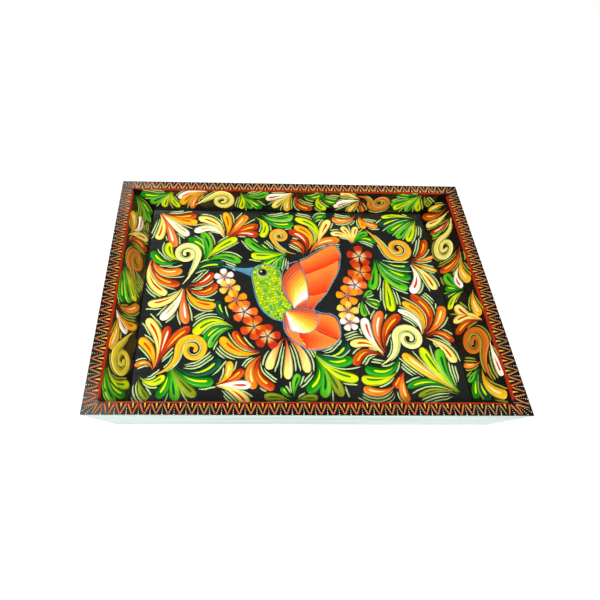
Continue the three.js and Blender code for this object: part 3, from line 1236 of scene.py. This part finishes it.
RIM_END = end_outer(RIM_Z) - end_inner(RIM_Z)
RIM_SIDE = side_outer(RIM_Z) - side_inner(RIM_Z)
TOOTH = 10.2
COPPER = tones("e87034 d8783a c4783c b88048 dc6830")
WEDGE, WEDGE_END, RIM_DOT, DULL_DOT = tones("ffc61c c89a20 fff6b8 c8b888")
RIM_SIDES = {side: side_canvas(side, RIM_Z, 1, 0, RIM_SIDE if side in LONG_SIDES else RIM_END)
             for side in ("front", "back", "left", "right")}


def paint_leg(art, canvas, start, stop, tone, wide):
    """One leg of a tooth: full at the inner edge, thin at the outer."""
    middle = (lerp(start[0], stop[0], 0.5) + luck.uniform(-0.25, 0.25), lerp(start[1], stop[1], 0.5))
    dull = mix(tone, rgb("8a6844"), 0.5)
    art.ribbon(canvas, spaced(smooth_line([start, middle, stop], 4), 7),
               lambda t: wide * (1.15 - 0.5 * t) * min(1.0, 0.6 + t * 6),
               lambda t, s: mix(mix(tone, dull, t), rgb("5a2008"), 0.4 * max(0.0, s)), 0.0, 0.22, 3)


def paint_tooth(zigzag, wedges, dots, canvas, x, skew, step, wedge, back_sheen):
    """A copper tooth with its point inwards, dots inside it, and a yellow wedge beside it."""
    # On the back side the copper is mixed halfway towards pale, a painted sheen, and the legs are drawn
    # wider.
    tone = mix(luck.choice(COPPER), rgb("e4b48c"), 0.5 * back_sheen)
    deep = canvas.high
    lean = skew * 3.2
    for hand in (-1, 1):
        foot = x + lean + hand * step * 0.5 + luck.uniform(-0.35, 0.35)
        paint_leg(zigzag, canvas, (x + hand * 0.45, 0.9), (foot, deep - 0.3 + luck.uniform(-0.3, 0.1)),
                  tone, luck.uniform(0.85, 1.05) * (1 + 0.4 * back_sheen))
    last = luck.choice((4, 5, 5)) - 1
    for k in range(last + 1):
        f = 0.42 + 0.5 * k / last
        dots.dot(canvas, x + lean * f + luck.uniform(-0.15, 0.15), lerp(0, deep, f),
                 lerp(0.3, 0.68, k / last), mix(RIM_DOT, DULL_DOT, 0.5 - 0.5 * f), 0.02, 0.22, 8)
    if wedge:
        base = x + step / 2
        line = [(base + skew * 1.5 * t, lerp(0.8, deep * luck.uniform(0.48, 0.56), t))
                for t in (0, 0.12, 0.35, 0.6, 0.85, 1)]
        wedges.ribbon(canvas, line, lambda t: max(0.12, 1.15 * min(1, 0.5 + t / 0.16) * (1 - t) ** 0.75),
                      lambda t, s: mix(WEDGE, WEDGE_END, t), 0.0, 0.22, 3)


def paint_corner(zigzag, dots, canvas, side):
    """Two strokes and two rows of dots that fan round a corner from the rim's inner corner."""
    x = side * canvas.half_width
    deep = canvas.high - 0.8
    for reach, out in ((0.3, 1.0), (1.0, 0.45)):
        foot = (x + side * (RIM_END - 1.2) * reach, deep * out)
        paint_leg(zigzag, canvas, (x - side * 0.2, 0.9), foot, luck.choice(COPPER), 0.95)
    for reach, out in ((0.68, 1.0), (1.0, 0.78)):
        for k in range(6):
            f = 0.3 + 0.13 * k
            dots.dot(canvas, x + side * (RIM_END - 1) * reach * f, deep * out * f, lerp(0.3, 0.6, k / 5),
                     RIM_DOT, 0.02, 0.22, 8)


def build_rim():
    zigzag, wedges, dots, lines = (Brushwork("rim_" + name)
                                   for name in ("zigzag", "wedges", "dots", "inner_line"))
    for name, canvas in RIM_SIDES.items():
        half = canvas.half_width
        count = round(2 * half / TOOTH)
        step = 2 * half / count
        for i in range(count):
            x = -half + (i + 0.5) * step
            skew = math.copysign(max(0.0, abs(x) - half + 12) / 12, x)
            # The back side's teeth are painted paler, as sheen.
            paint_tooth(zigzag, wedges, dots, canvas, x, skew, step, i < count - 1, name == "back")
        for side in (-1, 1) if name in LONG_SIDES else ():
            paint_corner(zigzag, dots, canvas, side)
        edge = [(lerp(-half, half, k / 40), 0.75 + luck.uniform(-0.08, 0.08)) for k in range(41)]
        lines.ribbon(canvas, edge, lambda t: 0.5, lambda t, s: RED_LINE, 0.0, 0.15, 3)
        wall = WALLS[name]
        start = canvas.at(0, EDGE_ROUND / 2, 0) - wall.up * EDGE_ROUND / 2 * MM
        softened = Canvas(start / MM, canvas.across, canvas.up + wall.up, half, 1)
        lines.ribbon(softened, [(x, 0) for x, _ in edge], lambda t: 0.55, lambda t, s: RED_LINE,
                     0.14, 0.15, 3, -0.1)
    for art in (zigzag, wedges, dots, lines):
        art.finish("painted_sides")


# ---------------------------------------------------------------- room, lights and camera

def add_scenery(name, shape, glow):
    """A white surface that glows slightly, as a table lit past white does in a product photograph."""
    material, _, bsdf = new_material(name)
    wire(bsdf, Base_Color=(0.2, 0.2, 0.2, 1), Roughness=0.9, Emission_Color=(1, 1, 1, 1),
         Emission_Strength=glow)
    piece = link_shape(name, shape)
    piece.data.materials.append(material)
    return piece


def build_stage():
    """The floor, inside a dome that only the camera sees, so that it doesn't light the tray."""
    reach = 3.0
    below = -0.0002
    shape = bmesh.new()
    shape.faces.new([shape.verts.new((x * reach, y * reach, below))
                     for x, y in ((-1, -1), (1, -1), (1, 1), (-1, 1))])
    add_scenery("studio_floor", shape, 0.85)
    shape = bmesh.new()
    bmesh.ops.create_icosphere(shape, subdivisions=4, radius=reach)
    dome = add_scenery("studio_dome", shape, 0.92)
    dome.visible_diffuse = False
    dome.visible_glossy = False
    dome.visible_transmission = False
    dome.visible_shadow = False


def add_light(name, place, aim, size, power, colour=(1, 1, 1)):
    data = bpy.data.lights.new(name, "AREA")
    data.shape = "RECTANGLE"
    data.size, data.size_y = size
    data.energy = power
    data.color = colour
    lamp = link(name, data)
    lamp.location = place
    lamp.rotation_euler = (Vector(aim) - Vector(place)).to_track_quat("-Z", "Y").to_euler()


def build_lights():
    world = bpy.data.worlds.new("studio")
    world.use_nodes = True
    wire(world.node_tree.nodes["Background"], Color=(1.0, 0.98, 0.94, 1), Strength=0.1)
    bpy.context.scene.world = world
    middle = (0, 0, 0.02)
    add_light("key", (-0.6, -0.8, 1.5), middle, (0.8, 0.6), 40, (1.0, 0.975, 0.93))
    add_light("fill", (1.0, -0.6, 1.05), middle, (0.8, 0.8), 9)
    cool = (0.92, 0.96, 1.0)
    add_light("rim_sheen", (-0.47, 0.08, 0.8), (-0.2, -0.14, 0.04), (0.16, 0.16), 0.4, cool)
    add_light("corner_sheen", (-0.46, 0.92, 0.8), (-0.2, 0.14, 0.04), (0.2, 0.2), 0.5, cool)


def build_camera():
    data = bpy.data.cameras.new("camera")
    data.lens = 26.53
    data.sensor_width = 36
    data.shift_x = 0.0932
    camera = link("camera", data)
    azimuth, elevation, roll = (math.radians(v) for v in (3.05, 59.08, 3.17))
    camera.matrix_world = (Matrix.Translation(Vector((-69.3, -251.2, 420.9)) * MM)
                           @ Matrix.Rotation(-azimuth, 4, "Z")
                           @ Matrix.Rotation(math.pi / 2 - elevation, 4, "X")
                           @ Matrix.Rotation(roll, 4, "Z"))
    bpy.context.scene.camera = camera


bpy.context.scene.view_settings.view_transform = "Standard"
build_boards()
claim_flowers()
build_foliage()
build_flowers()
build_wing()
build_tail()
build_body()
build_rim()
build_stage()
build_lights()
build_camera()
